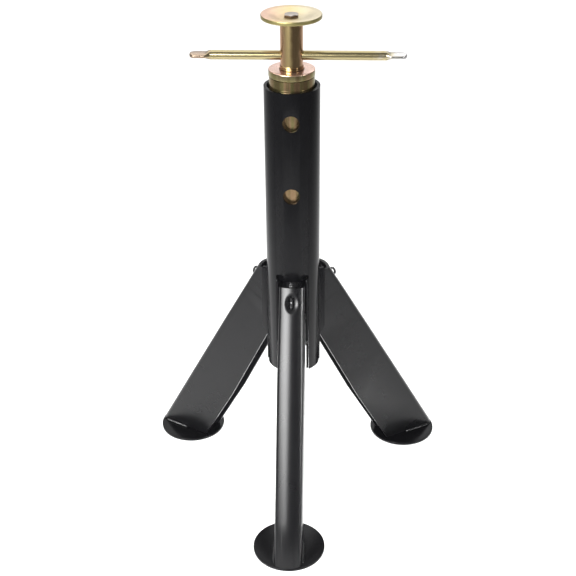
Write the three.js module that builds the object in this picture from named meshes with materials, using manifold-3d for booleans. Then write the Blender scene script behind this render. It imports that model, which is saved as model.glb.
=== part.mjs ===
// Tripod screw jack stand: a slotted steel tube on three folding channel legs, a pinned inner
// tube that slides in it, and a jack screw with a sliding T-bar and a swivel load pad.
// Units are millimetres, +Z is up, and the front leg points along -Y. The origin is on the
// ground, at the centre of the stand's footprint box.

import * as THREE from "three";
import { mergeVertices } from "three/addons/utils/BufferGeometryUtils.js";
import Module from "manifold-3d";

const wasm = await Module();
wasm.setup();

// ---- Driving dimensions ---------------------------------------------------------------

const GAP = 0.3; // clearance between faces that touch or are welded on the real stand
const SHEET = 3; // steel sheet of the legs

const TUBE_OD = 60;
const TUBE_WALL = 3.3;
const TUBE_BOTTOM_Z = 154;
const TUBE_TOP_Z = 494;
const PIN_HOLE_D = 18; // takes a 16 mm locking pin
const PIN_HOLE_Z = [461, 378];
const SLOT_TOP_Z = 280.5;
const SLOT_CORNER_R = 3;

const HINGE_PLATE_IN = 15.5; // lateral position of a hinge plate's inner face
const HINGE_PLATE_T = 2.5;
const HINGE_PLATE_TOP_Z = 277.5;
const HINGE_PLATE_BOTTOM_Z = 156;
const HINGE_EAR_BOTTOM_Z = 193; // the part of the plate that stands out of the tube starts here
const HINGE_EAR_R = 31.5; // how far from the tube's axis the plate's outer edge is
const PIVOT_R = 20; // hinge pin, from the tube's axis
const PIVOT_Z = 225;
const PIVOT_D = 8;
const PIVOT_BOSS_R = 10.7; // leg material round the hinge pin

const STOP_RING_Z = 271;
const STOP_RING_H = 8.5;
const STOP_RING_BORE = 36;

const LEG_TILT = THREE.MathUtils.degToRad(29.8); // web of an open leg, from the vertical
const LEG_TOP_R = 41.2; // corner line of the web at its top end
const LEG_TOP_Z = 272.5;
const LEG_TOP_CUT = THREE.MathUtils.degToRad(8); // slope of the top edge, down towards the tube
const LEG_DEPTH = 60; // flanges, from the web's corner line
const LEG_HALF_TOP = 14.2; // half of the leg's width at the top
const LEG_HALF_LOW = 15.1; // and from LEG_TAPER on
const LEG_TAPER = 100;
const LEG_CROWN = 2.2; // bulge of the web
const LEG_BEND_R = 4.5; // outer bend between web and flange
const LEG_INNER_CORNER = [27, 188]; // where the flange's hidden hub end starts: radius, height

const FOOT_CIRCLE_R = 157.4;
const FOOT_R = 40.5;
const FOOT_THICK = 3.3;

const HOOK_HOLE_AT = 17; // centre of the spring's hole, down the web from its top
const HOOK_HOLE_L = 15;
const HOOK_HOLE_W = 6.5;
const SPRING_WIRE_D = 2.8;
const SPRING_OD = 14;
const SPRING_Z = 262.5;
const SPRING_COIL_R = [11, 33]; // ends of the coil, from the tube's axis
const RING_R = 5; // centre line of the ring that joins the three springs
const RING_WIRE_D = 3;

const INNER_OD = 48.3;
const INNER_WALL = 3;
const INNER_TOP_Z = 504.7;
const INNER_HOLE_Z = [419.5, 336.5];

const NUT_FLANGE_D = 49.5;
const NUT_FLANGE_H = 7;
const NUT_TOP_Z = 512;
const NUT_SPIGOT_D = 41.7;
const NUT_BOTTOM_Z = 480;
const NUT_RECESS_D = 26.4;
const NUT_RECESS_H = 3;

const SCREW_BOSS_D = 24;
const SCREW_COLLAR_D = 25.6;
const SCREW_SHANK_D = 22; // outside of the thread
const SCREW_NECK_D = 10; // spigot that the pad turns on
const SCREW_BOTTOM_Z = 424;
const BAR_HOLE_D = 10.8;

const BAR_D = 10;
const BAR_Z = 526;
const BAR_ENDS_X = [-106.5, 119.5];
const BAR_FLAT_L = 17;
const BAR_FLAT_T = 4.4;
const BAR_FLAT_W = 13.4;
const BAR_FLAT_TURN = THREE.MathUtils.degToRad(4); // the flats face up and a little to the front

const PAD_D = 63.5;
const PAD_THICK = 4.3;
const PAD_TOP_Z = 570;
const PAD_BORE_D = 10.6;
const PAD_DISH = 3.4; // how far the pad's middle lies under its rim
const PAD_DISH_R = [12, 26]; // the dish's floor and its brim
const BOLT_HEAD_AF = 14; // across flats
const BOLT_HEAD_H = 2.9;
const BOLT_SHANK_D = 5;
const BOLT_SHANK_L = 14;

// ---- Materials ------------------------------------------------------------------------

const blackPaint = () =>
  new THREE.MeshStandardMaterial({ color: 0x0b0c0d, roughness: 0.3, metalness: 0.1 });
const yellowZinc = () =>
  new THREE.MeshStandardMaterial({ color: 0xc9b27c, roughness: 0.3, metalness: 1 });
const brightZinc = () =>
  new THREE.MeshStandardMaterial({ color: 0xb9bcc0, roughness: 0.35, metalness: 1 });
const springSteel = () =>
  new THREE.MeshStandardMaterial({ color: 0x1b1c1e, roughness: 0.35, metalness: 0.8 });

// ---- Solids ---------------------------------------------------------------------------

// A closed geometry as a solid that can be cut and joined.
function solid(geometry) {
  const plain = geometry.clone();
  plain.deleteAttribute("normal");
  plain.deleteAttribute("uv");
  const merged = mergeVertices(plain, 1e-4);
  return new wasm.Manifold(
    new wasm.Mesh({
      numProp: 3,
      vertProperties: Float32Array.from(merged.attributes.position.array),
      triVerts: Uint32Array.from(merged.index.array),
    }),
  );
}

function geometryOf(manifold) {
  const mesh = manifold.getMesh();
  const geometry = new THREE.BufferGeometry();
  geometry.setAttribute("position", new THREE.BufferAttribute(Float32Array.from(mesh.vertProperties), 3));
  geometry.setIndex(new THREE.BufferAttribute(Uint32Array.from(mesh.triVerts), 1));
  const flat = geometry.toNonIndexed();
  flat.computeVertexNormals();
  return flat;
}

// A body of revolution about Z from [radius, height] points that close on themselves.
function turned(points, segments = 48) {
  const profile = points.map(([r, z]) => new THREE.Vector2(r, z));
  const closed = [...profile, profile[0].clone()];
  return new THREE.LatheGeometry(closed, segments).rotateX(Math.PI / 2);
}

// A tube about Z between two heights.
function pipe(outerD, innerD, z0, z1, segments = 48) {
  return turned(
    [
      [innerD / 2, z0],
      [outerD / 2, z0],
      [outerD / 2, z1],
      [innerD / 2, z1],
    ],
    segments,
  );
}

// A round bar of a diameter between two points.
function roundBar(diameter, from, to, segments = 24) {
  const a = new THREE.Vector3(...from);
  const b = new THREE.Vector3(...to);
  const along = b.clone().sub(a);
  const bar = new THREE.CylinderGeometry(diameter / 2, diameter / 2, along.length(), segments);
  const turn = new THREE.Quaternion().setFromUnitVectors(
    new THREE.Vector3(0, 1, 0),
    along.clone().normalize(),
  );
  bar.applyQuaternion(turn);
  const middle = a.add(b).multiplyScalar(0.5);
  return bar.translate(middle.x, middle.y, middle.z);
}

// A round wire along points.
function wire(diameter, points, steps, sides = 8) {
  const path = new THREE.CatmullRomCurve3(points.map((p) => new THREE.Vector3(...p)));
  const section = new THREE.Shape();
  for (let i = 0; i < sides; i++) {
    const angle = (2 * Math.PI * i) / sides;
    const x = (diameter / 2) * Math.cos(angle);
    const y = (diameter / 2) * Math.sin(angle);
    if (i === 0) section.moveTo(x, y);
    else section.lineTo(x, y);
  }
  section.closePath();
  return new THREE.ExtrudeGeometry(section, { steps, extrudePath: path, bevelEnabled: false });
}

// ---- A leg's own plane ----------------------------------------------------------------
// Each leg is made for the front, where a point at radius r and height z is (0, -r, z).

// A plate in the leg's plane: a shape in radius and height, between two lateral positions.
function legPlate(outline, x0, x1) {
  const plate = new THREE.ExtrudeGeometry(outline, { depth: x1 - x0, bevelEnabled: false, curveSegments: 8 });
  const toLeg = new THREE.Matrix4().makeBasis(
    new THREE.Vector3(0, -1, 0),
    new THREE.Vector3(0, 0, 1),
    new THREE.Vector3(-1, 0, 0),
  );
  return plate.applyMatrix4(toLeg).translate(x1, 0, 0);
}

// The point of the leg's plane that is s down the web from its top and d out from its corner line.
function onLeg(s, d) {
  const r = LEG_TOP_R + s * Math.sin(LEG_TILT) + d * Math.cos(LEG_TILT);
  const z = LEG_TOP_Z - s * Math.cos(LEG_TILT) + d * Math.sin(LEG_TILT);
  return [r, z];
}

// ---- Stand tube -----------------------------------------------------------------------

const innerFace = TUBE_OD / 2 - TUBE_WALL;
const slotHalf = HINGE_PLATE_IN + HINGE_PLATE_T + GAP;
const LEG_TURNS = { front: 0, right: (2 * Math.PI) / 3, left: (-2 * Math.PI) / 3 };

// The slot for one leg, open at the tube's lower end and with rounded top corners.
function slotCutter() {
  const r = SLOT_CORNER_R;
  const slot = new THREE.Shape();
  slot.moveTo(-slotHalf, TUBE_BOTTOM_Z - 5);
  slot.lineTo(slotHalf, TUBE_BOTTOM_Z - 5);
  slot.lineTo(slotHalf, SLOT_TOP_Z - r);
  slot.absarc(slotHalf - r, SLOT_TOP_Z - r, r, 0, Math.PI / 2, false);
  slot.lineTo(-slotHalf + r, SLOT_TOP_Z);
  slot.absarc(-slotHalf + r, SLOT_TOP_Z - r, r, Math.PI / 2, Math.PI, false);
  slot.closePath();
  const cutter = new THREE.ExtrudeGeometry(slot, { depth: TUBE_OD, bevelEnabled: false, curveSegments: 4 });
  return cutter.rotateX(Math.PI / 2).translate(0, -5, 0);
}

function standTube() {
  let tube = solid(pipe(TUBE_OD, 2 * innerFace, TUBE_BOTTOM_Z, TUBE_TOP_Z, 60));
  for (const turn of Object.values(LEG_TURNS)) tube = tube.subtract(solid(slotCutter().rotateZ(turn)));
  for (const z of PIN_HOLE_Z) {
    tube = tube.subtract(solid(roundBar(PIN_HOLE_D, [0, -TUBE_OD, z], [0, TUBE_OD, z])));
  }
  return geometryOf(tube);
}

// The ring inside the tube that the open legs press against and the lowered inner tube rests on.
function stopRing() {
  return pipe(2 * (innerFace - GAP), STOP_RING_BORE, STOP_RING_Z, STOP_RING_Z + STOP_RING_H);
}

// ---- Hinge plates and pins ------------------------------------------------------------

function hingePlate(side) {
  const inner = 13;
  const seat = 25.2; // outer edge of the plate where it only closes the tube's slot
  const step = innerFace * Math.cos(Math.asin(HINGE_PLATE_IN / innerFace)) + 1;
  const ringClear = STOP_RING_Z - GAP;
  const outline = new THREE.Shape();
  outline.moveTo(inner, HINGE_PLATE_BOTTOM_Z + 4);
  outline.lineTo(inner + 4, HINGE_PLATE_BOTTOM_Z);
  outline.lineTo(seat, HINGE_PLATE_BOTTOM_Z);
  outline.lineTo(seat, HINGE_EAR_BOTTOM_Z - 3);
  outline.quadraticCurveTo(seat + 1, HINGE_EAR_BOTTOM_Z + 2, HINGE_EAR_R - 2, HINGE_EAR_BOTTOM_Z + 3);
  outline.quadraticCurveTo(HINGE_EAR_R, HINGE_EAR_BOTTOM_Z + 4, HINGE_EAR_R, HINGE_EAR_BOTTOM_Z + 8);
  outline.lineTo(HINGE_EAR_R, HINGE_PLATE_TOP_Z - 7);
  outline.quadraticCurveTo(HINGE_EAR_R, HINGE_PLATE_TOP_Z, HINGE_EAR_R - 6, HINGE_PLATE_TOP_Z);
  outline.lineTo(step, HINGE_PLATE_TOP_Z);
  outline.lineTo(step, ringClear);
  outline.lineTo(inner, ringClear);
  outline.closePath();
  const hole = new THREE.Path();
  hole.absarc(PIVOT_R, PIVOT_Z, PIVOT_D / 2 + GAP, 0, 2 * Math.PI, true);
  outline.holes.push(hole);
  const x0 = side > 0 ? HINGE_PLATE_IN : -HINGE_PLATE_IN - HINGE_PLATE_T;
  return legPlate(outline, x0, x0 + HINGE_PLATE_T);
}

function hingePin() {
  const half = HINGE_PLATE_IN + HINGE_PLATE_T - 0.2;
  return roundBar(PIVOT_D, [-half, -PIVOT_R, PIVOT_Z], [half, -PIVOT_R, PIVOT_Z]);
}

// ---- Legs -----------------------------------------------------------------------------

// Half of the leg's outer width, s down the web.
function legHalf(s) {
  const t = THREE.MathUtils.clamp((s - 30) / (LEG_TAPER - 30), 0, 1);
  return LEG_HALF_TOP + t * (LEG_HALF_LOW - LEG_HALF_TOP);
}

// The channel's section at s as [lateral, out] points, or the channel's inside when inset is the sheet.
function legSection(s, inset) {
  const half = legHalf(s) - inset;
  const bend = LEG_BEND_R - inset;
  const bendSteps = 4;
  const crownSteps = 6;
  const depth = inset > 0 ? LEG_DEPTH + 5 : LEG_DEPTH;
  const points = [[-half, -depth]];
  for (let i = 0; i <= bendSteps; i++) {
    const angle = Math.PI - (Math.PI / 2) * (i / bendSteps);
    points.push([-half + bend + bend * Math.cos(angle), -inset - bend + bend * Math.sin(angle)]);
  }
  for (let i = 1; i < crownSteps; i++) {
    const t = -1 + (2 * i) / crownSteps;
    points.push([t * (half - bend), -inset + LEG_CROWN * (1 - t * t)]);
  }
  for (let i = 0; i <= bendSteps; i++) {
    const angle = Math.PI / 2 - (Math.PI / 2) * (i / bendSteps);
    points.push([half - bend + bend * Math.cos(angle), -inset - bend + bend * Math.sin(angle)]);
  }
  points.push([half, -depth]);
  return points;
}

// A solid lofted through the channel's sections down the web.
function legLoft(inset) {
  const stations = [-40, 30, LEG_TAPER, 340];
  const sections = stations.map((s) => legSection(s, inset).reverse());
  const positions = stations.flatMap((s, k) =>
    sections[k].flatMap(([x, d]) => {
      const [r, z] = onLeg(s, d);
      return [x, -r, z];
    }),
  );
  const count = sections[0].length;
  const faces = [];
  for (let k = 0; k + 1 < stations.length; k++) {
    for (let i = 0; i < count; i++) {
      const a = k * count + i;
      const b = k * count + ((i + 1) % count);
      faces.push(a, b, b + count, a, b + count, a + count);
    }
  }
  const outline = sections[0].map(([x, d]) => new THREE.Vector2(x, d));
  const last = (stations.length - 1) * count;
  for (const triangle of THREE.ShapeUtils.triangulateShape(outline, [])) {
    const turnsLeft = THREE.ShapeUtils.area(triangle.map((i) => outline[i])) > 0;
    const [a, b, c] = turnsLeft ? triangle : triangle.reverse();
    faces.push(a, c, b);
    faces.push(last + a, last + b, last + c);
  }
  const loft = new THREE.BufferGeometry();
  loft.setAttribute("position", new THREE.BufferAttribute(new Float32Array(positions), 3));
  loft.setIndex(faces);
  return solid(loft);
}

// The leg's outline in its own plane: top cut, hub end shaped round the hinge pin, and the foot cut.
function legOutline() {
  const slope = Math.tan(LEG_TOP_CUT);
  const topZ = (r) => LEG_TOP_Z + (r - LEG_TOP_R) * slope;
  const bottom = FOOT_THICK + GAP;
  const edge = FOOT_CIRCLE_R + FOOT_R - 0.5;
  const under = -LEG_DEPTH - 4; // clear of the flanges' free edges
  const footS = (LEG_TOP_Z - bottom + under * Math.sin(LEG_TILT)) / Math.cos(LEG_TILT);
  const inner = PIVOT_R - PIVOT_BOSS_R;
  const outline = new THREE.Shape();
  outline.moveTo(edge, bottom);
  outline.lineTo(edge, topZ(edge));
  outline.lineTo(inner + 4, topZ(inner + 4));
  outline.lineTo(inner, topZ(inner) - 5);
  outline.lineTo(inner, PIVOT_Z);
  outline.absarc(PIVOT_R, PIVOT_Z, PIVOT_BOSS_R, Math.PI, 1.18 * Math.PI, false);
  outline.lineTo(...LEG_INNER_CORNER);
  outline.lineTo(...onLeg(footS, under));
  outline.closePath();
  return outline;
}

// The obround hole in the web that the spring's hook comes out of.
function hookHole() {
  const half = HOOK_HOLE_L / 2 - HOOK_HOLE_W / 2;
  const radius = HOOK_HOLE_W / 2;
  const shape = new THREE.Shape();
  shape.absarc(0, half, radius, 0, Math.PI, false);
  shape.absarc(0, -half, radius, Math.PI, 2 * Math.PI, false);
  shape.closePath();
  const hole = new THREE.ExtrudeGeometry(shape, { depth: 20, bevelEnabled: false, curveSegments: 8 });
  const [r, z] = onLeg(HOOK_HOLE_AT, -10);
  return hole
    .rotateX(Math.PI / 2)
    .rotateX(-LEG_TILT)
    .translate(0, -r, z);
}

function legChannel() {
  const half = LEG_HALF_LOW + 5;
  const pivotHole = roundBar(PIVOT_D + 2 * GAP, [-half, -PIVOT_R, PIVOT_Z], [half, -PIVOT_R, PIVOT_Z]);
  const channel = legLoft(0)
    .subtract(legLoft(SHEET))
    .intersect(solid(legPlate(legOutline(), -half, half)))
    .subtract(solid(pivotHole))
    .subtract(solid(hookHole()));
  return geometryOf(channel);
}

function footPlate() {
  return new THREE.CylinderGeometry(FOOT_R, FOOT_R, FOOT_THICK, 48)
    .rotateX(Math.PI / 2)
    .translate(0, -FOOT_CIRCLE_R, FOOT_THICK / 2);
}

// ---- Leg springs ----------------------------------------------------------------------

// One extension spring: a close-wound coil, an eye end towards the ring, and the hook that
// comes out at the top of the web's hole and turns back into it.
function legSpring() {
  const point = (s, d) => {
    const [r, z] = onLeg(s, d);
    return [0, -r, z];
  };
  const [coilIn, coilOut] = SPRING_COIL_R;
  const coil = roundBar(SPRING_OD, [0, -coilIn, SPRING_Z], [0, -coilOut, SPRING_Z], 20);
  const hook = wire(
    SPRING_WIRE_D,
    [
      [0, -coilOut + 2, SPRING_Z],
      point(12.2, -6),
      point(12, 1),
      point(13.4, 3.8),
      point(17, 4.8),
      point(21.5, 3.2),
      point(22, -1),
    ],
    40,
  );
  const eyeEnd = RING_R + RING_WIRE_D / 2 + GAP;
  const tail = roundBar(SPRING_WIRE_D, [0, -eyeEnd, SPRING_Z], [0, -coilIn - 2, SPRING_Z], 10);
  return geometryOf(solid(coil).add(solid(hook)).add(solid(tail)));
}

function springRing() {
  return new THREE.TorusGeometry(RING_R, RING_WIRE_D / 2, 10, 32).translate(0, 0, SPRING_Z);
}

// ---- Inner tube and nut ---------------------------------------------------------------

function innerTube() {
  const bottom = STOP_RING_Z + STOP_RING_H + GAP;
  let tube = solid(pipe(INNER_OD, INNER_OD - 2 * INNER_WALL, bottom, INNER_TOP_Z, 60));
  for (const z of INNER_HOLE_Z) {
    tube = tube.subtract(solid(roundBar(PIN_HOLE_D, [0, -TUBE_OD, z], [0, TUBE_OD, z])));
  }
  return geometryOf(tube);
}

function jackNut() {
  const bore = SCREW_SHANK_D / 2 + GAP;
  const spigot = NUT_SPIGOT_D / 2;
  const flange = NUT_FLANGE_D / 2;
  const recess = NUT_RECESS_D / 2;
  const under = NUT_TOP_Z - NUT_FLANGE_H;
  return turned([
    [bore, NUT_BOTTOM_Z],
    [spigot, NUT_BOTTOM_Z],
    [spigot, under],
    [flange - 0.6, under],
    [flange, under + 0.6],
    [flange, NUT_TOP_Z - 0.8],
    [flange - 0.8, NUT_TOP_Z],
    [recess, NUT_TOP_Z],
    [recess, NUT_TOP_Z - NUT_RECESS_H],
    [bore, NUT_TOP_Z - NUT_RECESS_H],
  ]);
}

// ---- Screw, T-bar and pad -------------------------------------------------------------

function jackScrew() {
  const shank = SCREW_SHANK_D / 2;
  const boss = SCREW_BOSS_D / 2;
  const collar = SCREW_COLLAR_D / 2;
  const neck = SCREW_NECK_D / 2;
  const padFloor = PAD_TOP_Z - PAD_DISH;
  const padUnder = padFloor - PAD_THICK;
  const seatZ = NUT_TOP_Z - NUT_RECESS_H + GAP;
  const threadHole = BOLT_SHANK_D / 2 + GAP;
  const threadDepth = BOLT_SHANK_L + 1;
  const profile = [
    [0, SCREW_BOTTOM_Z],
    [shank - 2, SCREW_BOTTOM_Z],
    [shank, SCREW_BOTTOM_Z + 2],
    [shank, seatZ],
    [boss, seatZ],
    [boss, NUT_TOP_Z + 0.4],
    [collar, NUT_TOP_Z + 0.6],
    [collar, NUT_TOP_Z + 1.8],
    [boss, NUT_TOP_Z + 2.2],
    [collar - 0.3, NUT_TOP_Z + 2.6],
    [collar - 0.3, NUT_TOP_Z + 3.8],
    [boss, NUT_TOP_Z + 4.2],
    [boss, padUnder - GAP - 0.5],
    [boss - 0.5, padUnder - GAP],
    [neck, padUnder - GAP],
    [neck, padFloor - 0.2],
    [threadHole, padFloor - 0.2],
    [threadHole, padFloor - threadDepth],
    [0, padFloor - threadDepth],
  ];
  const points = profile.map(([r, z]) => new THREE.Vector2(r, z));
  const body = new THREE.LatheGeometry(points, 48).rotateX(Math.PI / 2);
  const barHole = roundBar(BAR_HOLE_D, [-SCREW_BOSS_D, 0, BAR_Z], [SCREW_BOSS_D, 0, BAR_Z]);
  return geometryOf(solid(body).subtract(solid(barHole)));
}

// The T-bar: a round rod whose ends are pressed flat so that it can't leave its hole.
function tBar() {
  const [x0, x1] = BAR_ENDS_X;
  const rod = roundBar(BAR_D, [x0 + BAR_FLAT_L, 0, BAR_Z], [x1 - BAR_FLAT_L, 0, BAR_Z]);
  const half = BAR_FLAT_W / 2;
  const flatEnd = (tip, towards) => {
    const root = tip + towards * (BAR_FLAT_L + 7);
    const shape = new THREE.Shape();
    shape.moveTo(root, -BAR_D / 2 + 0.4);
    shape.lineTo(tip + towards * (BAR_FLAT_L - 3), -half);
    shape.lineTo(tip + towards * half, -half);
    shape.absarc(
      tip + towards * half,
      0,
      half,
      -Math.PI / 2,
      Math.PI / 2,
      towards > 0,
    );
    shape.lineTo(tip + towards * (BAR_FLAT_L - 3), half);
    shape.lineTo(root, BAR_D / 2 - 0.4);
    shape.closePath();
    return new THREE.ExtrudeGeometry(shape, { depth: BAR_FLAT_T, bevelEnabled: false, curveSegments: 10 })
      .translate(0, 0, -BAR_FLAT_T / 2)
      .rotateX(BAR_FLAT_TURN)
      .translate(0, 0, BAR_Z);
  };
  return geometryOf(solid(rod).add(solid(flatEnd(x0, 1))).add(solid(flatEnd(x1, -1))));
}

function swivelPad() {
  const rim = PAD_D / 2;
  const bore = PAD_BORE_D / 2;
  const under = PAD_TOP_Z - PAD_THICK;
  const [floor, brim] = PAD_DISH_R;
  return turned(
    [
      [bore, under - PAD_DISH],
      [floor, under - PAD_DISH],
      [brim, under],
      [rim - 1, under],
      [rim, under + 1],
      [rim, PAD_TOP_Z - 0.8],
      [rim - 0.8, PAD_TOP_Z],
      [brim, PAD_TOP_Z],
      [floor, PAD_TOP_Z - PAD_DISH],
      [bore, PAD_TOP_Z - PAD_DISH],
    ],
    64,
  );
}

// The bolt that holds the pad on the screw's neck, with a chamfered six-sided head.
function padBolt() {
  const corner = BOLT_HEAD_AF / Math.sqrt(3);
  const seatZ = PAD_TOP_Z - PAD_DISH;
  const headZ = seatZ + GAP;
  const hexagon = new THREE.CylinderGeometry(corner, corner, BOLT_HEAD_H, 6)
    .rotateX(Math.PI / 2)
    .translate(0, 0, headZ + BOLT_HEAD_H / 2);
  const round = turned([
    [0.01, headZ - 1],
    [corner, headZ - 1],
    [corner, headZ + BOLT_HEAD_H - 0.9],
    [BOLT_HEAD_AF / 2 - 0.3, headZ + BOLT_HEAD_H],
    [0.01, headZ + BOLT_HEAD_H],
  ]);
  const shank = roundBar(BOLT_SHANK_D, [0, 0, seatZ - BOLT_SHANK_L], [0, 0, headZ + 1]);
  const filled = solid(round).add(solid(roundBar(1, [0, 0, headZ - 1], [0, 0, headZ + BOLT_HEAD_H], 8)));
  return geometryOf(solid(hexagon).intersect(filled).add(solid(shank)));
}

// ---- Assembly -------------------------------------------------------------------------

const group = new THREE.Group();

function add(parent, name, geometry, material) {
  const mesh = new THREE.Mesh(geometry, material);
  mesh.name = name;
  parent.add(mesh);
}

add(group, "stand_tube", standTube(), blackPaint());
add(group, "stop_ring", stopRing(), blackPaint());
add(group, "spring_ring", springRing(), springSteel());

for (const [side, turn] of Object.entries(LEG_TURNS)) {
  const leg = new THREE.Group();
  leg.rotation.z = turn;
  add(leg, `hinge_plate_${side}_1`, hingePlate(-1), blackPaint());
  add(leg, `hinge_plate_${side}_2`, hingePlate(1), blackPaint());
  add(leg, `hinge_pin_${side}`, hingePin(), springSteel());
  add(leg, `leg_${side}`, legChannel(), blackPaint());
  add(leg, `foot_plate_${side}`, footPlate(), blackPaint());
  add(leg, `leg_spring_${side}`, legSpring(), springSteel());
  group.add(leg);
}

add(group, "inner_tube", innerTube(), yellowZinc());
add(group, "jack_nut", jackNut(), yellowZinc());
add(group, "jack_screw", jackScrew(), yellowZinc());
add(group, "t_bar", tBar(), yellowZinc());
add(group, "swivel_pad", swivelPad(), yellowZinc());
add(group, "pad_bolt", padBolt(), brightZinc());

// The front foot reaches further from the tube than the two rear feet do, so the tube stands
// behind the centre of the footprint box by a quarter of the foot circle's radius.
for (const child of group.children) child.position.y += FOOT_CIRCLE_R / 4;

export default group;
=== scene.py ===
"""Tripod screw jack stand: glossy black paint on the stand, yellow zinc plate on the screw and tubes.

The pieces are built in millimetres round the stand tube's axis, with the front leg along -Y, and
are then moved back to the frame, whose origin is at the centre of the footprint box.
"""

import math

import bmesh
import bpy
from mathutils import Matrix, Vector, noise


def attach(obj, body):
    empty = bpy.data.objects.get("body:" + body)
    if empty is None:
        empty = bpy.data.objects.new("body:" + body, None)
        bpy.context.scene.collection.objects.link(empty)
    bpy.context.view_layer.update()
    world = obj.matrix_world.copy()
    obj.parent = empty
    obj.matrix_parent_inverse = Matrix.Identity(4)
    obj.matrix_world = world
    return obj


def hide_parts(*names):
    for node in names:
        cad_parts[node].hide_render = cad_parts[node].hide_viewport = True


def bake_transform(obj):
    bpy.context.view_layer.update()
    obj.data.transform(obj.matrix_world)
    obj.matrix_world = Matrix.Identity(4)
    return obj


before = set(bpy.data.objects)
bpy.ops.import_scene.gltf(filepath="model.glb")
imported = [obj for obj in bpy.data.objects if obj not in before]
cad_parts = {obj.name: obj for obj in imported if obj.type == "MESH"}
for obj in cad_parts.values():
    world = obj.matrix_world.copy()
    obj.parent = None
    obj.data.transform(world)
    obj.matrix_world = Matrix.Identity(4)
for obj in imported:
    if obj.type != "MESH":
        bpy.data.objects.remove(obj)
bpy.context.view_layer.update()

MM = 0.001
AXIS_Y = 39.35  # the tube's axis in the frame
LEGS = {"front": 0, "right": 120, "left": -120}  # turn of each leg about the tube, in degrees

TUBE_R = 30
TUBE_WALL = 3.3
TUBE_BOTTOM = 154
TUBE_TOP = 494
PIN_HOLE_R = 9
PIN_HOLES = (461, 378)
SLOT_TOP = 280.5
SLOT_HALF = 18.3
SLOT_CORNER = 3

SHEET = 3  # thickness of the legs' steel
EAR_IN = 15.5  # inner face of a hinge plate
EAR_THICK = 2.5

LEG_TILT = math.radians(29.8)
LEG_TOP = (41.2, 272.5)  # radius and height of the web's corner line at its top end
LEG_TOP_SLOPE = math.tan(math.radians(8))
LEG_DEPTH = 60
LEG_HALF_TOP = 14.2
LEG_HALF_LOW = 15.1
CROWN_END = math.radians(22)  # slope of the web's crown where it meets the bends
LEG_BEND = 4.5
PIVOT = (20, 225)
PIVOT_BOSS = 10.7
PIVOT_HOLE = 4.3
LEG_CORNER = (27, 188)
FOOT_R = 157.4
FOOT_DISC = 40.5
FOOT_THICK = 3.3

SPRING_Z = 262.5
SPRING_WIRE = 1.4  # radius of the wire
SPRING_ENDS = (11, 34)  # radii between which the real spring stretches; the end points are worked out and left unused, so each spring keeps one length
RING_R = 5
RING_WIRE = 1.45

INNER_R = 24.15
INNER_BORE = 21.15
INNER_BOTTOM = 279.8
INNER_TOP = 504.2
INNER_PIN_HOLES = (419.5, 336.5)
NUT_TOP = 512
NUT_FLANGE_R = 24.75
NUT_SPIGOT_R = 20.85
NUT_BORE = 11.3

THREAD_R = 11.0
THREAD_DEPTH = 1.7
THREAD_PITCH = 4.0
THREAD_BOTTOM = 426
THREAD_TOP = 507
BOSS_R = 12.0
BAR_Z = 526
BAR_ENDS = (-106.5, 119.5)
BAR_R = 5.0
BAR_BORE = 5.4
BAR_FLAT = 17.0  # length of a flattened end
BAR_FLAT_HALF = (6.7, 2.2)  # half its width and half its thickness
BAR_FLAT_TURN = math.radians(4)  # the flats face up and a little to the front
PAD_TOP = 570
PAD_R = 31.75
PAD_BORE = 5.3
PAD_DISH = 3.4  # how far the pad's middle lies under its rim
PAD_DISH_R = (12, 26)  # the dish rises from its flat floor between these radii
PAD_THICK = 4.3
HEAD_FLATS = 14  # the bolt head's width across its flats
HEAD_HEIGHT = 2.9

WORLD_LIGHT = 0.15
FLOOR_SIZE = 30  # metres from the middle to an edge
FLOOR_GAP = 0.0003  # metres under the feet, so that the faces don't fight
LIGHTS = (  # name, place, target, size, watts, spread in degrees, shadow
    ("back_wall", (0.2, 3.4, 1.3), (0, 0, 0.4), (4.5, 2.2), 24, 180, True),
    ("overhead", (-0.4, 1.6, 2.4), (-0.3, 1.4, 0), (4.2, 3.2), 90, 180, True),
    ("front_left", (-0.73, -1.29, 0.95), (0, -0.06, 0.165), (1.1, 0.75), 12.6, 60, False),
    ("front_right", (1.35, -0.8, 0.66), (0, -0.06, 0.165), (0.3, 0.5), 0.75, 22, False),
)
CAMERA_PLACE = (0.0529, -1.1485, 0.9158)
CAMERA_TURN = (-2.846, 29.27, 0.562)  # heading, pitch down and roll, in degrees
CAMERA_LENS = 74.03
CAMERA_SENSOR = 36

# ---- Finishes -------------------------------------------------------------------

UPRIGHT = (1, 1, 0.03)  # stretches a pattern into vertical streaks
LENGTHWISE = (0.05, 1, 1)  # stretches it into streaks along the T-bar
PINK = (0.56, 0.37, 0.29)
CREAM = (0.52, 0.42, 0.23)
PALE = (0.53, 0.47, 0.34)
# darker yellow painted on the pad's upright side, a painted shade
PAINTED_SHADE_YELLOW = (0.3, 0.26, 0.11)
OLIVE = (0.21, 0.185, 0.08)
ROSE = (0.5, 0.29, 0.18)
GOLD = (0.45, 0.345, 0.165)
BRONZE = (0.14, 0.088, 0.048)
RUST = (0.3, 0.185, 0.11)
STRAW = (0.33, 0.28, 0.15)
DULL_PINK = (0.3, 0.22, 0.17)
SILVER = (0.5, 0.5, 0.52)
# pale pink painted on the nut's top face, a painted highlight
PAINTED_HIGHLIGHT_PINK = (0.86, 0.6, 0.5)


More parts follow.
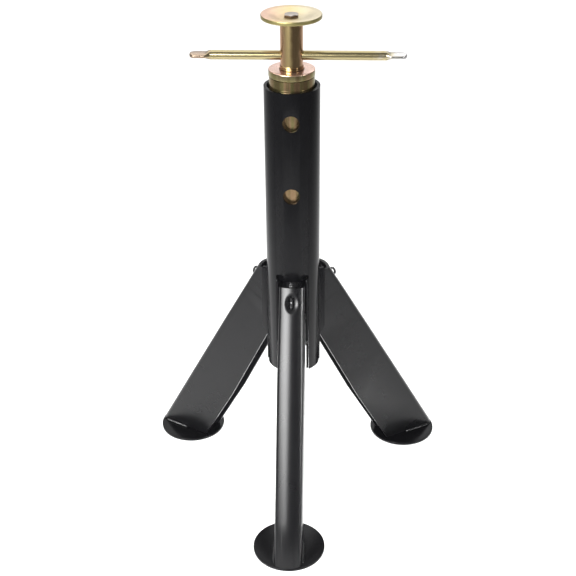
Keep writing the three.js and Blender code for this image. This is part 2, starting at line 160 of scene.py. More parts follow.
class Nodes:
    """Short ways to build one material's node tree."""

    def __init__(self, name):
        self.material = bpy.data.materials.new(name)
        self.material.use_nodes = True
        self.tree = self.material.node_tree
        self.shader = self.tree.nodes["Principled BSDF"]
        self.position = self.tree.nodes.new("ShaderNodeTexCoord").outputs["Object"]

    def link(self, source, target):
        self.tree.links.new(source, target)

    def mapped(self, scale):
        node = self.tree.nodes.new("ShaderNodeMapping")
        node.inputs["Scale"].default_value = scale
        self.link(self.position, node.inputs["Vector"])
        return node.outputs["Vector"]

    def noise(self, scale, detail=3.0, stretch=(1, 1, 1)):
        node = self.tree.nodes.new("ShaderNodeTexNoise")
        node.inputs["Scale"].default_value = scale
        node.inputs["Detail"].default_value = detail
        self.link(self.mapped(stretch), node.inputs["Vector"])
        return node.outputs["Fac"]

    def along(self, axis, low, high):
        """0 to 1 between two positions on an axis of the frame, with a little wander."""
        split = self.tree.nodes.new("ShaderNodeSeparateXYZ")
        self.link(self.position, split.inputs["Vector"])
        node = self.tree.nodes.new("ShaderNodeMapRange")
        node.inputs["From Min"].default_value = low
        node.inputs["From Max"].default_value = high
        self.link(split.outputs[axis], node.inputs["Value"])
        wander = self.tree.nodes.new("ShaderNodeMath")
        wander.operation = "ADD"
        self.link(node.outputs["Result"], wander.inputs[0])
        self.link(self.scaled(self.noise(70, 3), -0.12, 0.12), wander.inputs[1])
        return wander.outputs["Value"]

    def from_axis(self, low, high):
        """0 to 1 between two distances from the tube's axis."""
        node = self.tree.nodes.new("ShaderNodeMapping")
        node.inputs["Location"].default_value = (0, -AXIS_Y * MM, 0)
        node.inputs["Scale"].default_value = (1, 1, 0)
        self.link(self.position, node.inputs["Vector"])
        length = self.tree.nodes.new("ShaderNodeVectorMath")
        length.operation = "LENGTH"
        self.link(node.outputs["Vector"], length.inputs[0])
        spread = self.tree.nodes.new("ShaderNodeMapRange")
        spread.inputs["From Min"].default_value = low * MM
        spread.inputs["From Max"].default_value = high * MM
        self.link(length.outputs["Value"], spread.inputs["Value"])
        return spread.outputs["Result"]

    def ramp(self, factor, stops):
        node = self.tree.nodes.new("ShaderNodeValToRGB")
        elements = node.color_ramp.elements
        while len(elements) < len(stops):
            elements.new(0.5)
        for element, (at, colour) in zip(elements, stops):
            element.position = at
            element.color = (*colour, 1)
        self.link(factor, node.inputs["Fac"])
        return node.outputs["Color"]

    def scaled(self, factor, low, high):
        node = self.tree.nodes.new("ShaderNodeMapRange")
        node.inputs["To Min"].default_value = low
        node.inputs["To Max"].default_value = high
        self.link(factor, node.inputs["Value"])
        return node.outputs["Result"]

    def mix(self, factor, first, second):
        node = self.tree.nodes.new("ShaderNodeMix")
        node.data_type = "RGBA"
        self.link(factor, node.inputs["Factor"])
        for value, target in ((first, node.inputs[6]), (second, node.inputs[7])):
            if isinstance(value, tuple):
                target.default_value = (*value, 1)
            else:
                self.link(value, target)
        return node.outputs[2]

    def bump(self, height, strength, distance):
        node = self.tree.nodes.new("ShaderNodeBump")
        node.inputs["Strength"].default_value = strength
        node.inputs["Distance"].default_value = distance
        self.link(height, node.inputs["Height"])
        self.link(node.outputs["Normal"], self.shader.inputs["Normal"])


def black_paint(name, colour=(0.003, 0.003, 0.0034), rough=(0.16, 0.24), peel=0.05, gloss=0.11):
    """Glossy black powder coat: slight orange peel, faint dust and uneven gloss."""
    n = Nodes(name)
    dust = n.noise(60, 4)
    speck = n.ramp(n.noise(900, 2), [(0.66, (0, 0, 0)), (0.72, (1, 1, 1))])
    base = n.mix(n.scaled(dust, 0, 0.55), colour, tuple(2.0 * c for c in colour))
    n.link(n.mix(n.scaled(speck, 0, 0.1), base, (0.04, 0.039, 0.037)), n.shader.inputs["Base Color"])
    n.link(n.scaled(n.noise(25, 3), *rough), n.shader.inputs["Roughness"])
    n.shader.inputs["Specular IOR Level"].default_value = gloss
    n.bump(n.noise(420, 2), peel, 0.0004)
    return n.material


def zinc(
    name, stops, stretch, scale, rough=(0.16, 0.3), tint=GOLD, across=None, rim=None, top=None, wear=0.45,
):
    """Yellow chromate over zinc: a metal whose tint drifts between pink, cream and olive.

    The tint varies as a noise, or runs along x between two positions when across is given; on the
    screw that run is painted light. rim is two distances from the axis and the tint beyond them, a
    painted shade on the pad's side; top is a height in metres and the tint above it, a painted
    highlight on the nut's top face.
    """
    n = Nodes(name)
    # on the screw the run along x is painted light: a painted reflection at the left and painted shade at the
    # right
    tint_drift_and_painted_light = n.ramp(n.along("X", *across) if across else n.noise(scale, 3, stretch), stops)
    fine = n.noise(scale * 9, 4, stretch)
    colour = n.mix(n.scaled(fine, 0.0, wear), tint_drift_and_painted_light, tint)
    # on the pad the tint beyond rim is painted shade on its rounded edge and upright side
    if rim:
        colour = n.mix(n.from_axis(rim[0], rim[1]), colour, rim[2])
    # on the nut the tint above top is a painted highlight on its top face, in lighter and darker parts
    if top:
        painted_top_highlight = n.mix(n.scaled(n.noise(80, 3), 0.2, 0.8), top[1], tuple(0.72 * c for c in top[1]))
        height = n.along("Z", top[0] - MM, top[0] + MM)
        above = n.ramp(height, [(0.35, (0, 0, 0)), (0.65, (1, 1, 1))])
        colour = n.mix(above, colour, painted_top_highlight)
    stain = n.ramp(n.noise(210, 5), [(0.6, (0, 0, 0)), (0.74, (1, 1, 1))])
    n.link(n.mix(n.scaled(stain, 0, 0.3), colour, (0.3, 0.24, 0.17)), n.shader.inputs["Base Color"])
    n.shader.inputs["Metallic"].default_value = 0.95
    n.link(n.scaled(n.noise(110, 4, stretch), *rough), n.shader.inputs["Roughness"])
    n.bump(n.noise(700, 3, stretch), 0.06, 0.0002)
    return n.material


def bolt_zinc(name, top, sides, edge_z, rough=(0.26, 0.38)):
    """Zinc painted pale above the height edge_z in metres, a painted highlight on the head's top, and keeps
    its chromate on the sides.
    """
    n = Nodes(name)
    height = n.along("Z", edge_z - 0.0004, edge_z + 0.0003)
    colour = n.ramp(height, [(0.3, sides), (0.7, top)])
    cloud = n.noise(160, 4)
    n.link(n.mix(n.scaled(cloud, 0.1, 0.7), colour, sides), n.shader.inputs["Base Color"])
    n.shader.inputs["Metallic"].default_value = 1.0
    n.link(n.scaled(n.noise(300, 3), *rough), n.shader.inputs["Roughness"])
    n.bump(n.noise(900, 2), 0.15, 0.0002)
    return n.material


PAINT = black_paint("black_paint")
LEG_PAINT = black_paint("leg_paint", rough=(0.25, 0.31), peel=0.025, gloss=0.235)
FOOT_PAINT = black_paint("foot_paint", rough=(0.2, 0.3), peel=0.1, gloss=0.13)
WELD_PAINT = black_paint("weld_paint", (0.004, 0.004, 0.0044), (0.12, 0.2), peel=0.15, gloss=0.5)
ZINC_TUBE = zinc(
    "zinc_tube", [(0.34, BRONZE), (0.47, OLIVE), (0.55, RUST), (0.62, BRONZE), (0.7, STRAW)],
    UPRIGHT, 90, tint=OLIVE,
)
# painted light: across x the screw is painted lighter gold at the left, a painted reflection of the left
# lamp, and darker bronze at the right, painted shade
ZINC_SCREW = zinc(
    "zinc_screw", [(0.08, ROSE), (0.3, GOLD), (0.42, GOLD), (0.58, BRONZE), (0.82, BRONZE), (0.95, ROSE)],
    UPRIGHT, 110, across=(-0.0125, 0.0125), wear=0.3,
)
# painted highlight: above its top height the nut is painted a pale pink, lighter than its sides
ZINC_NUT = zinc(
    "zinc_nut", [(0.34, RUST), (0.46, OLIVE), (0.56, STRAW), (0.66, BRONZE)], UPRIGHT, 80, tint=OLIVE,
    top=((NUT_TOP - 0.6) * MM, PAINTED_HIGHLIGHT_PINK),
)
# painted shade: from 31.2 mm out from the axis the pad's rounded edge and upright side are painted a darker
# yellow
ZINC_PAD = zinc(
    "zinc_pad", [(0.1, PINK), (0.45, CREAM), (0.7, PALE)], (1, 1, 1), 34, (0.38, 0.44), CREAM,
    across=(-0.033, 0.033), rim=(31.2, 31.7, PAINTED_SHADE_YELLOW), wear=0.25,
)
ZINC_BAR = zinc(
    "zinc_bar", [(0.05, DULL_PINK), (0.12, STRAW), (0.88, STRAW), (0.97, SILVER)], LENGTHWISE, 90,
    (0.2, 0.3), STRAW, across=(-0.1065, 0.1195), wear=0.3,
)
# painted highlight: the bolt head's top and chamfer are painted pale, its sides bronze
BRIGHT = bolt_zinc("bright_zinc", (0.42, 0.4, 0.38), (0.2, 0.14, 0.09), (PAD_TOP - PAD_DISH + 2.5) * MM)
SPRING_STEEL = black_paint("spring_wire", (0.007, 0.007, 0.0075), (0.14, 0.22), peel=0.04, gloss=0.6)

# ---- Building pieces ------------------------------------------------------------------


def to_leg(r, x, z):
    """A point at radius r, lateral x and height z of the front leg's plane."""
    return (x, -r, z)


def on_leg(s, d):
    """Radius and height of the point s down the web from its top end and d out from its corner line."""
    r = LEG_TOP[0] + s * math.sin(LEG_TILT) + d * math.cos(LEG_TILT)
    z = LEG_TOP[1] - s * math.cos(LEG_TILT) + d * math.sin(LEG_TILT)
    return r, z


def seen_from_side(r, z, depth):
    """Stands an outline of (radius, height) points in the front leg's plane."""
    return (depth, -r, z)


def seen_from_front(x, z, depth):
    """Stands an outline of (x, height) points across the front leg."""
    return (x, -depth, z)


def placed(turn):
    """From millimetres round the tube's axis to metres in the frame, turned with a leg."""
    return (
        Matrix.Translation((0, AXIS_Y * MM, 0))
        @ Matrix.Rotation(math.radians(turn), 4, "Z")
        @ Matrix.Scale(MM, 4)
    )


def piece(
    name, verts, faces, material, slot, turn=0, smooth=30, bevel=0.0, segments=2, cutters=(), kept=None,
    ride=None, stands_for=(),
):
    """A finished piece of the stand: millimetres in, moved into the frame, cut, bevelled and shaded."""
    mesh = bpy.data.meshes.new(name)
    mesh.from_pydata([tuple(v) for v in verts], [], faces)
    mesh.transform(placed(turn))
    obj = bpy.data.objects.new(name, mesh)
    bpy.context.scene.collection.objects.link(obj)
    tidy_mesh(mesh, 0.02 * MM)
    mesh.materials.append(material)
    for tool in cutters:
        cut(obj, "DIFFERENCE", *tool)
    if kept:
        cut(obj, "INTERSECT", *kept)
    if bevel:
        modifier = obj.modifiers.new("bevel", "BEVEL")
        modifier.width = bevel * MM
        modifier.segments = segments
        modifier.limit_method = "ANGLE"
        modifier.angle_limit = math.radians(40)
        bake(obj)
    shade(obj, smooth)
    if stands_for:
        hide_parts(*stands_for)
    if ride:
        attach(obj, ride)
    return obj


def tidy_mesh(mesh, merge):
    """Merges doubled points and turns every face outwards."""
    bm = bmesh.new()
    bm.from_mesh(mesh)
    bmesh.ops.remove_doubles(bm, verts=bm.verts, dist=merge)
    bmesh.ops.recalc_face_normals(bm, faces=bm.faces)
    bm.to_mesh(mesh)
    bm.free()


def bake(obj):
    """Applies the modifiers of an object."""
    graph = bpy.context.evaluated_depsgraph_get()
    made = bpy.data.meshes.new_from_object(obj.evaluated_get(graph))
    obj.modifiers.clear()
    obj.data = made


def shade(obj, angle):
    """Smooth shading, with edges kept sharp over an angle."""
    mesh = obj.data
    mesh.polygons.foreach_set("use_smooth", [True] * len(mesh.polygons))
    bm = bmesh.new()
    bm.from_mesh(mesh)
    for edge in bm.edges:
        if len(edge.link_faces) == 2:
            edge.smooth = edge.calc_face_angle(0) < math.radians(angle)
    bm.to_mesh(mesh)
    bm.free()


def circle(radius, count, a=0, b=0):
    """The outline of a circle with its centre at (a, b)."""
    angles = [math.radians(360 / count * k) for k in range(count)]
    return [(a + radius * math.cos(angle), b + radius * math.sin(angle)) for angle in angles]


def closed_tube(rows, sides):
    """Faces that join rows of points, each with the same number of sides, and close both ends."""
    faces = []
    for i in range(rows - 1):
        for k in range(sides):
            m = (k + 1) % sides
            faces.append((i * sides + k, i * sides + m, (i + 1) * sides + m, (i + 1) * sides + k))
    faces.append(tuple(range(sides))[::-1])
    faces.append(tuple(range((rows - 1) * sides, rows * sides)))
    return faces


def lathe(points, count):
    """Vertices and faces of a profile of (radius, height) points that closes on itself, turned about Z."""
    verts, faces = [], []
    rows = len(points)
    for i in range(count):
        angle = 2 * math.pi * i / count
        verts += [(r * math.cos(angle), r * math.sin(angle), z) for r, z in points]
    for i in range(count):
        j = (i + 1) % count
        for k in range(rows):
            m = (k + 1) % rows
            faces.append((i * rows + k, j * rows + k, j * rows + m, i * rows + m))
    return verts, faces


def rounded(points, radius, steps=4):
    """A closed (a, b) outline with each convex or hollow corner rounded by up to radius."""
    out = []
    count = len(points)
    for i, point in enumerate(points):
        p = Vector(point[:2])
        r = point[2] if len(point) > 2 else radius
        before = Vector(points[i - 1][:2]) - p
        after = Vector(points[(i + 1) % count][:2]) - p
        reach = min(r, 0.45 * before.length, 0.45 * after.length)
        if reach < 0.05:
            out.append(tuple(p))
            continue
        a, b = p + before.normalized() * reach, p + after.normalized() * reach
        for k in range(steps + 1):
            t = k / steps
            out.append(tuple((1 - t) ** 2 * a + 2 * t * (1 - t) * p + t * t * b))
    return out


def sweep(path, radius, sides, close=False):
    """A round wire along a list of points; radius is one number, or one for each point."""
    points = [Vector(p) for p in path]
    count = len(points)
    radii = radius if isinstance(radius, list) else [radius] * count
    verts = []
    normal = None
    for i, p in enumerate(points):
        ahead = points[(i + 1) % count] if close or i + 1 < count else p
        behind = points[i - 1] if close or i > 0 else p
        tangent = (ahead - behind).normalized()
        if normal is None:
            normal = tangent.orthogonal().normalized()
        normal = (normal - tangent * normal.dot(tangent)).normalized()
        side = tangent.cross(normal)
        for k in range(sides):
            angle = 2 * math.pi * k / sides
            verts.append(p + radii[i] * (math.cos(angle) * normal + math.sin(angle) * side))
    if not close:
        return verts, closed_tube(count, sides)
    faces = []
    for i in range(count):
        a, b = i * sides, ((i + 1) % count) * sides
        for k in range(sides):
            m = (k + 1) % sides
            faces.append((a + k, a + m, b + m, b + k))
    return verts, faces


def cut(obj, operation, verts, faces, turn):
    """Subtracts a temporary closed mesh from an object, or keeps only what is inside it."""
    mesh = bpy.data.meshes.new("tool")
    mesh.from_pydata([tuple(v) for v in verts], [], faces)
    mesh.transform(placed(turn))
    tidy_mesh(mesh, 0.001 * MM)
    tool = bpy.data.objects.new("tool", mesh)
    bpy.context.scene.collection.objects.link(tool)
    modifier = obj.modifiers.new("cut", "BOOLEAN")
    modifier.operation = operation
    modifier.solver = "EXACT"
    modifier.object = tool
    bake(obj)
    bpy.data.objects.remove(tool)


def prism(outline, low, high, place):
    """An outline of (a, b) points between two depths; place turns (a, b, depth) into a point."""
    count = len(outline)
    verts = [place(a, b, low) for a, b in outline] + [place(a, b, high) for a, b in outline]
    faces = [tuple(range(count))[::-1], tuple(range(count, 2 * count))]
    for i in range(count):
        j = (i + 1) % count
        faces.append((i, j, count + j, count + i))
    return verts, faces


# ---- Stand tube, hinge plates and pins ------------------------------------------------


def slot_cutter(turn):
    """The open-bottomed slot of one leg, with rounded top corners."""
    outline = [(-SLOT_HALF, TUBE_BOTTOM - 5), (SLOT_HALF, TUBE_BOTTOM - 5)]
    for side, start in ((1, 0), (-1, 90)):
        for k in range(7):
            a = math.radians(start + 15 * k)
            x = side * (SLOT_HALF - SLOT_CORNER) + SLOT_CORNER * math.cos(a)
            outline.append((x, SLOT_TOP - SLOT_CORNER + SLOT_CORNER * math.sin(a)))
    verts, faces = prism(outline, 8, TUBE_R + 8, seen_from_front)
    return verts, faces, turn


def pin_cutter(z):
    """A locking pin's opening through both walls of a tube."""
    verts, faces = prism(circle(PIN_HOLE_R, 48, b=z), -40, 40, seen_from_front)
    return verts, faces, 0


def stand_tube():
    inner = TUBE_R - TUBE_WALL
    points = [(inner, TUBE_BOTTOM), (TUBE_R, TUBE_BOTTOM), (TUBE_R, TUBE_TOP), (inner, TUBE_TOP)]
    cutters = [slot_cutter(turn) for turn in LEGS.values()] + [pin_cutter(z) for z in PIN_HOLES]
    piece(
        "tube_body", *lathe(points, 144), PAINT, "black_paint", bevel=0.55, segments=3,
        cutters=cutters, ride="stand", stands_for=["stand_tube"],
    )


def stop_ring():
    profile = rounded([(18, 271), (26.4, 271), (26.4, 279.5), (18, 279.5)], 0.8)
    piece(
        "stop_ring_turned", *lathe(profile, 72), PAINT, "black_paint", ride="stand", stands_for=["stop_ring"],
    )


def hinge_plates():
    corner = TUBE_R - TUBE_WALL
    step = corner * math.cos(math.asin(EAR_IN / corner)) + 1
    outline = rounded(
        [
            (13, 160, 1), (17, 156, 1), (25.2, 156, 1), (25.2, 191, 4), (31.5, 196, 4.5),
            (31.5, 277.5, 7), (step, 277.5, 0.5), (step, 270.7, 0.5), (13, 270.7, 1),
        ],
        2,
        6,
    )
    hole = circle(PIVOT_HOLE, 30, *PIVOT)
    for name, turn in LEGS.items():
        for number, low in ((1, -EAR_IN - EAR_THICK), (2, EAR_IN)):
            plate = prism(outline, low, low + EAR_THICK, seen_from_side)
            bore = prism(hole, low - 2, low + EAR_THICK + 2, seen_from_side)
            piece(
                f"ear_{name}_{number}", *plate, PAINT, "black_paint", turn=turn, bevel=0.4,
                cutters=[(*bore, turn)], ride="stand", stands_for=[f"hinge_plate_{name}_{number}"],
            )


def hinge_pins():
    for name, turn in LEGS.items():
        verts, faces = lathe(rounded([(0.01, -17.8), (4, -17.8), (4, 17.8), (0.01, 17.8)], 0.7), 40)
        verts = [(z, -PIVOT[0] + x, PIVOT[1] + y) for x, y, z in verts]
        piece(
            f"pin_{name}", verts, faces, SPRING_STEEL, "spring_steel", turn=turn, ride="stand",
            stands_for=[f"hinge_pin_{name}"],
        )


# ---- Legs -----------------------------------------------------------------------------

DIMPLE_AT = 18  # centre of the pressed dimple, down the web
DIMPLE_SIZE = (12.5, 9.2)
DIMPLE_DEPTH = 2.8
FINE_END = 36  # the web's mesh is fine from its top to here
FINE_STEP = 1.25


def leg_half(s):
    """Half the channel's width, which grows a little down the leg."""
    t = min(max((s - 30) / 70, 0), 1)
    return LEG_HALF_TOP + t * (LEG_HALF_LOW - LEG_HALF_TOP)


def leg_section(s, inset):
    """Outer section of the channel at s, or its inner one when inset is the sheet's thickness.

    The web's crown runs into the two bends without a crease.
    """
    half = leg_half(s) - inset
    bend = LEG_BEND - inset
    depth = LEG_DEPTH + (5 if inset else 0)
    bends, crowns = 6, 28
    reach = half - bend + bend * math.sin(CROWN_END)
    rise = 0.5 * reach * math.tan(CROWN_END)
    edge = -inset - bend * (1 - math.cos(CROWN_END))
    right = [(reach * k / crowns, edge + rise * (1 - (k / crowns) ** 2)) for k in range(crowns)]
    for k in range(bends + 1):
        a = 0.5 * math.pi - CROWN_END - (0.5 * math.pi - CROWN_END) * k / bends
        right.append((half - bend + bend * math.cos(a), -inset - bend + bend * math.sin(a)))
    right.append((half, -depth))
    points = [(-x, d) for x, d in right[:0:-1]] + right
    dished = []
    for x, d in points:
        rho = math.hypot((s - DIMPLE_AT) / DIMPLE_SIZE[0], x / DIMPLE_SIZE[1])
        if rho < 1 and d > -LEG_DEPTH / 2:
            d -= DIMPLE_DEPTH * (0.5 + 0.5 * math.cos(math.pi * rho))
        dished.append((x, d))
    return dished


def leg_loft(inset):
    fine = [FINE_STEP * k for k in range(int(FINE_END / FINE_STEP) + 1)]
    stations = [-12, -2] + fine + [45, 60, 80, 100, 150, 200, 260, 330]
    rings = [leg_section(s, inset) for s in stations]
    count = len(rings[0])
    verts = []
    for s, ring in zip(stations, rings):
        for x, d in ring:
            r, z = on_leg(s, d)
            verts.append(to_leg(r, x, z))
    faces = [tuple(range(count)), tuple(range((len(rings) - 1) * count, len(rings) * count))[::-1]]
    for k in range(len(rings) - 1):
        for i in range(count):
            j = (i + 1) % count
            faces.append((k * count + i, k * count + j, (k + 1) * count + j, (k + 1) * count + i))
    return verts, faces


def leg_outline():
    """The leg seen from its side: top cut, hub end round the pivot, and the cut at the foot."""
    def top(r):
        return LEG_TOP[1] + (r - LEG_TOP[0]) * LEG_TOP_SLOPE

    floor = FOOT_THICK + 0.3
    edge = FOOT_R + FOOT_DISC - 0.5
    inner = PIVOT[0] - PIVOT_BOSS
    under = -LEG_DEPTH - 4
    foot_s = (LEG_TOP[1] - floor + under * math.sin(LEG_TILT)) / math.cos(LEG_TILT)
    outline = [(edge, floor), (edge, top(edge)), (inner + 4, top(inner + 4)), (inner, top(inner) - 5)]
    for k in range(4):
        a = math.pi * (1 + 0.06 * k)
        outline.append((PIVOT[0] + PIVOT_BOSS * math.cos(a), PIVOT[1] + PIVOT_BOSS * math.sin(a)))
    return outline + [LEG_CORNER, on_leg(foot_s, under)]


def hook_hole():
    outline = []
    for end, start in ((4.25, 0), (-4.25, 180)):
        for k in range(13):
            a = math.radians(start + 15 * k)
            outline.append((3.25 * math.cos(a), end + 3.25 * math.sin(a)))

    def place(a, b, c):
        r, z = on_leg(17 - b, c)
        return to_leg(r, a, z)

    return prism(outline, -14, 10, place)


def pivot_bore():
    return prism(circle(PIVOT_HOLE, 30, *PIVOT), -25, 25, seen_from_side)


def legs():
    profile = prism(leg_outline(), -22, 22, seen_from_side)
    for name, turn in LEGS.items():
        piece(
            f"channel_{name}", *leg_loft(0), LEG_PAINT, "black_paint", turn=turn, smooth=32, bevel=0.45,
            cutters=[(*leg_loft(SHEET), turn), (*hook_hole(), turn), (*pivot_bore(), turn)],
            kept=(*profile, turn), ride=f"leg_{name}", stands_for=[f"leg_{name}"],
        )


def weld_bead(side, seed):
    """A rippled fillet between a flange and the foot plate."""
    r_web = on_leg(0, 0)[0] + (LEG_TOP[1] - FOOT_THICK) * math.tan(LEG_TILT)
    path, radii = [], []
    steps = 60
    for k in range(steps + 1):
        t = k / steps
        wander = noise.noise(Vector((9 * t, seed, 0)))
        across = side * (LEG_HALF_LOW + 0.9 + 0.4 * wander)
        path.append((across, -(r_web - 7 - 34 * t), FOOT_THICK + 0.9))
        ends = min(1, 9 * t, 9 * (1 - t)) ** 0.5
        radii.append((2.3 + 0.28 * math.sin(2 * math.pi * 13 * t) + 0.3 * wander) * max(ends, 0.12))
    return sweep(path, radii, 12)


def feet():
    top, edge = FOOT_THICK, FOOT_DISC
    profile = rounded([(0.01, 0), (edge, 0), (edge, top), (0.01, top)], 0.7, 3)
    for index, (name, turn) in enumerate(LEGS.items()):
        verts, faces = lathe(profile, 120)
        verts = [(x, y - FOOT_R, z) for x, y, z in verts]
        piece(
            f"foot_disc_{name}", verts, faces, FOOT_PAINT, "black_paint", turn=turn, smooth=50,
            ride=f"leg_{name}", stands_for=[f"foot_plate_{name}"],
        )
        for label, side in (("a", 1), ("b", -1)):
            piece(
                f"weld_{name}_{label}", *weld_bead(side, 3.7 * index + side), WELD_PAINT, "black_paint",
                turn=turn, smooth=60, ride=f"leg_{name}",
            )


# ---- Leg springs ----------------------------------------------------------------------


def spline(points, steps):
    """A smooth curve through points."""
    points = [Vector(p) for p in points]
    padded = [2 * points[0] - points[1]] + points + [2 * points[-1] - points[-2]]
    out = []
    for i in range(1, len(padded) - 2):
        a, b, c, d = padded[i - 1 : i + 3]
        for k in range(steps):
            t = k / steps
            square = (2 * a - 5 * b + 4 * c - d) * t**2
            cube = (3 * b - a - 3 * c + d) * t**3
            out.append(0.5 * (2 * b + (c - a) * t + square + cube))
    out.append(points[-1])
    return out


def spring_path():
    """An eye at the ring, the coil, and a hook through the hole in the leg's web."""
    coil_r, start, end, turns = 5.75, 12.5, 31.5, 7.25
    helix = []
    steps = round(24 * turns)
    for k in range(steps + 1):
        a = 2 * math.pi * turns * k / steps
        r = start + (end - start) * k / steps
        helix.append((coil_r * math.sin(a), -r, SPRING_Z + coil_r * math.cos(a)))
    eye_points = [(0, -6.9, SPRING_Z - 0.4), (0, -9.5, SPRING_Z + 1.5), (0, -11.4, SPRING_Z + 4.6), helix[0]]
    hook_points = [helix[-1], (3.4, -33.4, SPRING_Z + 0.6)]
    for s, d in ((11.9, -5), (12, 1), (13.4, 3.8), (17, 4.8), (21.5, 3.2), (22, -1)):
        r, z = on_leg(s, d)
        hook_points.append(to_leg(r, 0, z))
    return spline(eye_points, 8)[:-1] + helix + spline(hook_points, 8)[1:]


def springs():
    path = spring_path()
    for name, turn in LEGS.items():
        spring = piece(
            f"spring_{name}", *sweep(path, SPRING_WIRE, 10), SPRING_STEEL, "spring_steel", turn=turn,
            smooth=80, stands_for=[f"leg_spring_{name}"],
        )
        place = Matrix.Translation((0, AXIS_Y, 0)) @ Matrix.Rotation(math.radians(turn), 4, "Z")
        ends = [place @ Vector((0, -r, SPRING_Z)) * MM for r in SPRING_ENDS]
        tuple(ends[0])
        tuple(ends[1])
        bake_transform(spring)
    ring = [(x, y, SPRING_Z) for x, y in circle(RING_R, 36)]
    piece(
        "hook_ring", *sweep(ring, RING_WIRE, 12, close=True), SPRING_STEEL, "spring_steel", smooth=80,
        ride="stand", stands_for=["spring_ring"],
    )


# ---- Inner tube, nut, screw, bar and pad ----------------------------------------------


def inner_tube():
    points = [(r, INNER_BOTTOM) for r in (INNER_BORE, INNER_R)]
    points += [(r, INNER_TOP) for r in (INNER_R, INNER_BORE)]
    piece(
        "slide_tube", *lathe(points, 144), ZINC_TUBE, "yellow_zinc", bevel=0.6, segments=3,
        cutters=[pin_cutter(z) for z in INNER_PIN_HOLES], ride="inner", stands_for=["inner_tube"],
    )


def jack_nut():
    profile = rounded(
        [
            (NUT_BORE, 480, 0.5), (NUT_SPIGOT_R, 480, 1), (NUT_SPIGOT_R, 505, 0), (NUT_FLANGE_R, 505, 0.7),
            (NUT_FLANGE_R, NUT_TOP, 1.0), (13.2, NUT_TOP, 0.5), (13.2, 509, 0.3), (NUT_BORE, 509, 0.4),
        ],
        0.5,
    )
    piece(
        "nut_turned", *lathe(profile, 144), ZINC_NUT, "yellow_zinc", ride="inner", stands_for=["jack_nut"],
    )


def thread_radius(z, angle):
    """Trapezoid screw thread that runs out at both ends."""
    phase = (z / THREAD_PITCH - angle / (2 * math.pi)) % 1
    height = min(max((abs(phase - 0.5) - 0.13) / 0.14, 0), 1)
    fade = min(1, max(0, (z - THREAD_BOTTOM) / 3), max(0, (THREAD_TOP - z) / 3))
    return THREAD_R - THREAD_DEPTH * height * fade


def jack_screw():
    """Threaded shank, turned boss with two rings, and the neck that the pad turns on."""
    columns = 96
    rows = [(None, THREAD_BOTTOM + 0.4 * k) for k in range(206)]
    low = rounded([(0.01, 424, 0), (9.3, 424, 0.4), (11, 425.8, 0.2)], 0.3, 2)[:-2]
    pad_floor = PAD_TOP - PAD_DISH
    shoulder = pad_floor - PAD_THICK - 0.3
    high = rounded(
        [
            (11, 508.8, 0), (11, 509.3, 0), (BOSS_R, 509.3, 0.2), (BOSS_R, 512.2, 0.2), (12.8, 512.4, 0.3),
            (12.8, 513.7, 0.4), (11.6, 513.9, 0.2), (11.6, 514.6, 0.2), (12.6, 514.8, 0.3),
            (12.6, 515.8, 0.4), (BOSS_R, 516.2, 0.2), (BOSS_R, shoulder, 0.8), (5, shoulder, 0.2),
            (5, pad_floor - 0.2, 0.4), (2.8, pad_floor - 0.2, 0.1), (2.8, pad_floor - 15, 0),
            (0.01, pad_floor - 15, 0),
        ],
        0.4,
    )
    profile = low + rows + high
    verts = []
    for r, z in profile:
        for k in range(columns):
            a = 2 * math.pi * k / columns
            radius = thread_radius(z, a) if r is None else r
            verts.append((radius * math.cos(a), radius * math.sin(a), z))
    faces = closed_tube(len(profile), columns)
    bore = prism(circle(BAR_BORE, 36, b=BAR_Z), -20, 20, lambda y, z, depth: (depth, y, z))
    piece(
        "screw_threaded", verts, faces, ZINC_SCREW, "yellow_zinc", smooth=40, cutters=[(*bore, 0)],
        ride="screw", stands_for=["jack_screw"],
    )


def t_bar():
    """A round rod, pressed flat and wide towards its rounded ends."""
    wide, thin = BAR_FLAT_HALF
    sides = 40
    x0, x1 = BAR_ENDS
    stations = sorted(
        [x0 + 0.6 * k for k in range(48)] + [x1 - 0.6 * k for k in range(48)]
        + [x0 + 30 + (x1 - x0 - 60) * k / 20 for k in range(21)]
    )
    verts = []
    for x in stations:
        tip = min(x - x0, x1 - x)
        t = min(max((tip - BAR_FLAT + 1) / 6, 0), 1)
        t = t * t * (3 - 2 * t)
        half_y = wide + (BAR_R - wide) * t
        half_z = thin + (BAR_R - thin) * t
        if tip < wide:
            half_y *= max(math.sqrt(max(1 - (1 - tip / wide) ** 2, 0)), 0.12)
        if tip < 1.2:
            half_z *= max(math.sqrt(max(1 - (1 - tip / 1.2) ** 2, 0)), 0.35)
        power = 0.55 + 0.45 * t
        for k in range(sides):
            a = 2 * math.pi * k / sides
            c, s = math.cos(a), math.sin(a)
            y = half_y * math.copysign(abs(c) ** power, c)
            z = half_z * math.copysign(abs(s) ** power, s)
            turned_y = y * math.cos(BAR_FLAT_TURN) - z * math.sin(BAR_FLAT_TURN)
            turned_z = y * math.sin(BAR_FLAT_TURN) + z * math.cos(BAR_FLAT_TURN)
            verts.append((x, turned_y, BAR_Z + turned_z))
    faces = closed_tube(len(stations), sides)
    piece("bar_rod", verts, faces, ZINC_BAR, "yellow_zinc", smooth=50, ride="t_bar", stands_for=["t_bar"])


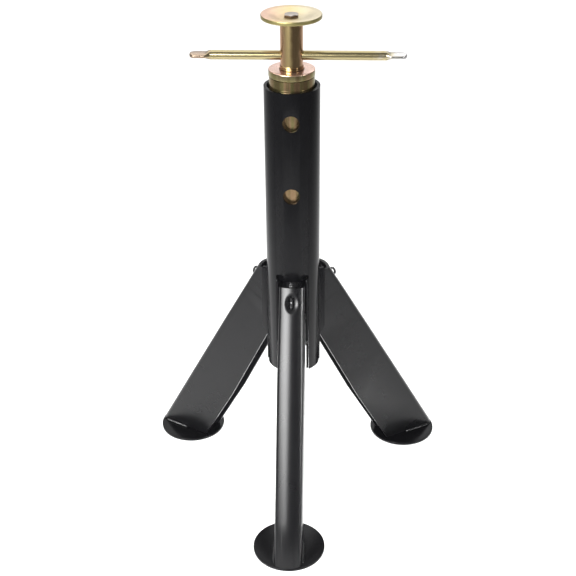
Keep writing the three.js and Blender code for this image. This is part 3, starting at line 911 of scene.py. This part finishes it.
def swivel_pad():
    """A thick disc with a shallow dish inside its flat rim."""
    floor, brim = PAD_DISH_R
    steps = 10
    points = []
    for k in range(steps + 1):
        t = k / steps
        points.append((floor + (brim - floor) * t, PAD_TOP - PAD_DISH * (1 - t * t * (3 - 2 * t))))
    top = [(x, z, 0) for x, z in points]
    under = [(x, z - PAD_THICK, 0) for x, z in points]
    rim = [(PAD_R, PAD_TOP - PAD_THICK, 1.0), (PAD_R, PAD_TOP, 1.1)]
    bore = [(PAD_BORE, PAD_TOP - PAD_DISH, 0.4), (PAD_BORE, PAD_TOP - PAD_DISH - PAD_THICK, 0.3)]
    profile = rounded([bore[1], *under, *rim, *top[::-1], bore[0]], 0.5)
    piece(
        "pad_disc", *lathe(profile, 144), ZINC_PAD, "yellow_zinc", smooth=50, ride="pad",
        stands_for=["swivel_pad"],
    )


def pad_bolt():
    """Plain hexagon head with a chamfered top, on its threaded shank."""
    base = PAD_TOP - PAD_DISH + 0.3
    top = base + HEAD_HEIGHT
    corner = HEAD_FLATS / math.sqrt(3)
    sides = 48
    verts = []
    shank = [(2.5, base - 14, False), (2.5, base, False)]
    head = [(corner, z, True) for z in (base, top - 0.9, top - 0.6)]
    for radius, z, is_hex in shank + head:
        for k in range(sides):
            a = 2 * math.pi * k / sides
            reach = radius
            if is_hex:
                reach *= math.cos(math.pi / 6) / math.cos((a + math.pi / 6) % (math.pi / 3) - math.pi / 6)
            verts.append((reach * math.cos(a), reach * math.sin(a), z))
    for radius, z in ((6.7, top - 0.08), (6.1, top), (0.6, top)):
        for k in range(sides):
            a = 2 * math.pi * k / sides
            verts.append((radius * math.cos(a), radius * math.sin(a), z))
    faces = closed_tube(len(verts) // sides, sides)
    piece("bolt_hex", verts, faces, BRIGHT, "bright_zinc", smooth=35, ride="screw", stands_for=["pad_bolt"])


stand_tube()
stop_ring()
hinge_plates()
hinge_pins()
legs()
feet()
springs()
inner_tube()
jack_nut()
jack_screw()
t_bar()
swivel_pad()
pad_bolt()

# ---- Floor, lights and camera ---------------------------------------------------------


def area_light(name, place, target, size, power, spread, shadow):
    data = bpy.data.lights.new(name, "AREA")
    data.spread = math.radians(spread)
    data.use_shadow = shadow
    data.shape = "RECTANGLE"
    data.size, data.size_y = size
    data.energy = power
    light = bpy.data.objects.new(name, data)
    bpy.context.scene.collection.objects.link(light)
    light.location = place
    aim = Vector(target) - Vector(place)
    light.rotation_euler = aim.to_track_quat("-Z", "Y").to_euler()


def studio():
    floor_paint = Nodes("floor")
    grain = floor_paint.mix(floor_paint.noise(3, 2), (0.93, 0.93, 0.93), (0.95, 0.95, 0.95))
    floor_paint.link(grain, floor_paint.shader.inputs["Base Color"])
    floor_paint.shader.inputs["Roughness"].default_value = 0.9
    mesh = bpy.data.meshes.new("floor")
    corners = [(FLOOR_SIZE * x, FLOOR_SIZE * y, 0) for x, y in ((-1, -1), (1, -1), (1, 1), (-1, 1))]
    mesh.from_pydata(corners, [], [(0, 1, 2, 3)])
    mesh.materials.append(floor_paint.material)
    floor = bpy.data.objects.new("floor", mesh)
    floor.location.z = -FLOOR_GAP
    bpy.context.scene.collection.objects.link(floor)

    world = bpy.data.worlds.new("studio")
    bpy.context.scene.world = world
    world.use_nodes = True
    background = world.node_tree.nodes["Background"]
    background.inputs["Color"].default_value = (1, 1, 1, 1)
    background.inputs["Strength"].default_value = WORLD_LIGHT
    for light in LIGHTS:
        area_light(*light)


def camera():
    """The photograph's viewpoint."""
    heading, pitch, roll = (math.radians(angle) for angle in CAMERA_TURN)
    level = math.cos(pitch)
    ahead = Vector((math.sin(heading) * level, math.cos(heading) * level, -math.sin(pitch)))
    right = Vector((math.cos(heading), -math.sin(heading), 0))
    down = ahead.cross(right)
    across = math.cos(roll) * right + math.sin(roll) * down
    under = -math.sin(roll) * right + math.cos(roll) * down
    turn = Matrix((across, -under, -ahead)).transposed().to_4x4()
    data = bpy.data.cameras.new("view")
    data.lens = CAMERA_LENS
    data.sensor_width = CAMERA_SENSOR
    data.clip_end = 100
    view = bpy.data.objects.new("view", data)
    bpy.context.scene.collection.objects.link(view)
    view.matrix_world = Matrix.Translation(CAMERA_PLACE) @ turn
    bpy.context.scene.camera = view


studio()
camera()
bpy.context.scene.view_settings.view_transform = "Standard"
